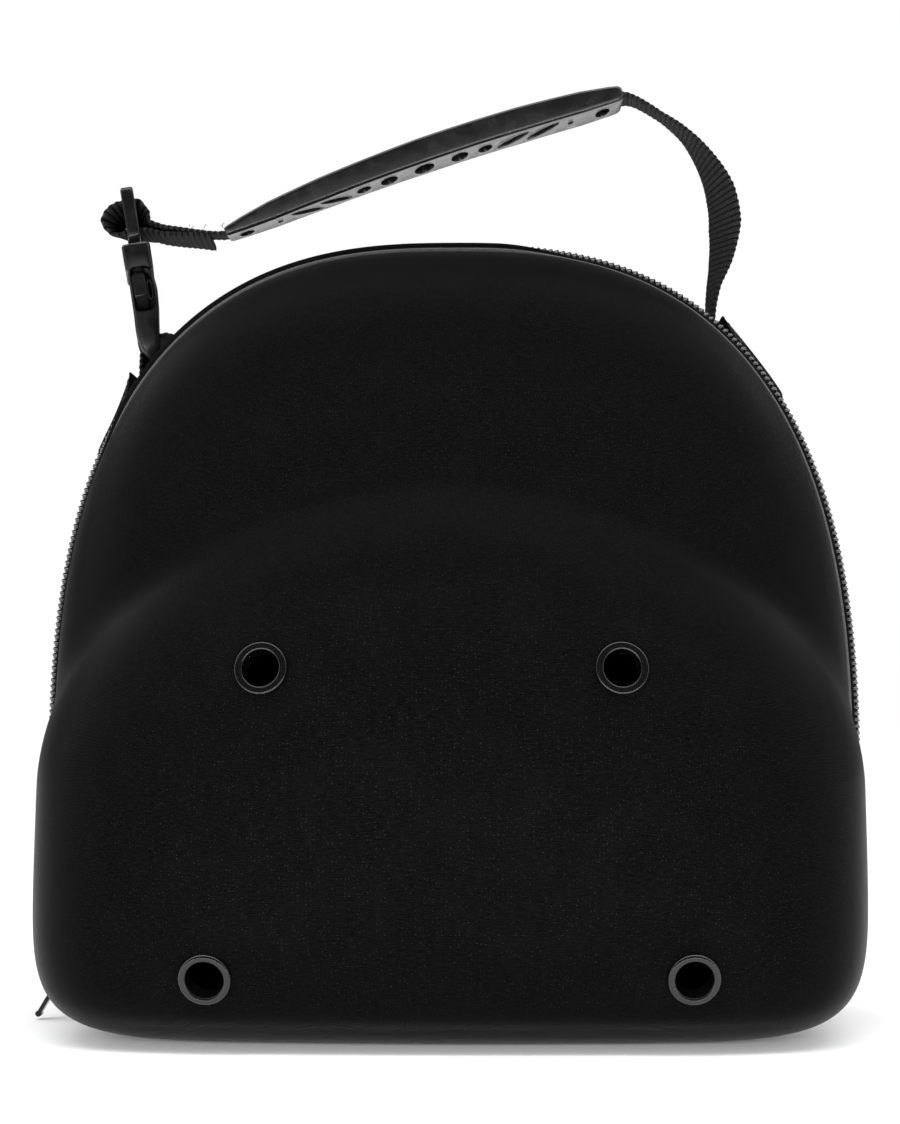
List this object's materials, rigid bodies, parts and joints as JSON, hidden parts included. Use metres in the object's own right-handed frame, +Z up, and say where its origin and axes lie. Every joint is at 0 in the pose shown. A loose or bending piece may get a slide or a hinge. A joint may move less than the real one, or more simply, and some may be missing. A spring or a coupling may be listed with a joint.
{
  "type": "cap carrier",
  "caption": "Moulded zip-up case that carries a peaked cap, with a domed front, a deep bulge for the peak, vent eyelets and a webbing strap with a grip and a side-release buckle.",
  "frame": {"origin": "middle of the bounding box's base, on the surface that the case stands on", "axes": "+Z up, the domed front faces -Y, +X to the right of a viewer facing the front"},
  "size_m": [0.2648, 0.177, 0.3043],
  "materials": {
    "shell_fabric": "fine black knit bonded to moulded foam",
    "eyelet_enamel": "glossy black enamel",
    "zipper_tape": "woven black tape",
    "zipper_coil": "black nylon coil",
    "strap_webbing": "ribbed black webbing",
    "buckle_plastic": "moulded black plastic, satin",
    "grip_plastic": "moulded black plastic, matte"
  },
  "bodies": {
    "case": {"front_shell": "shell_fabric", "back_shell": "shell_fabric", "eyelet_upper_left": "eyelet_enamel", "eyelet_upper_right": "eyelet_enamel", "eyelet_lower_left": "eyelet_enamel", "eyelet_lower_right": "eyelet_enamel", "zipper_tape_front": "zipper_tape", "zipper_tape_back": "zipper_tape", "zipper_chain": "zipper_coil", "zipper_slider": "buckle_plastic", "hinge_tape": "zipper_tape", "strap_webbing": "strap_webbing", "strap_anchor": "strap_webbing", "strap_patch_left": "shell_fabric", "strap_patch_right": "shell_fabric", "buckle_female": "buckle_plastic", "buckle_male": "buckle_plastic", "grip": "grip_plastic"},
    "pull": {"zipper_pull": "buckle_plastic"}
  },
  "joints": [
    {"name": "pull_swing", "type": "hinge", "parent": "case", "child": "pull", "pos_m": [-0.12366, 0.0165, 0.01463], "axis": [0, 1, 0], "range_deg": [-60, 108]}
  ]
}
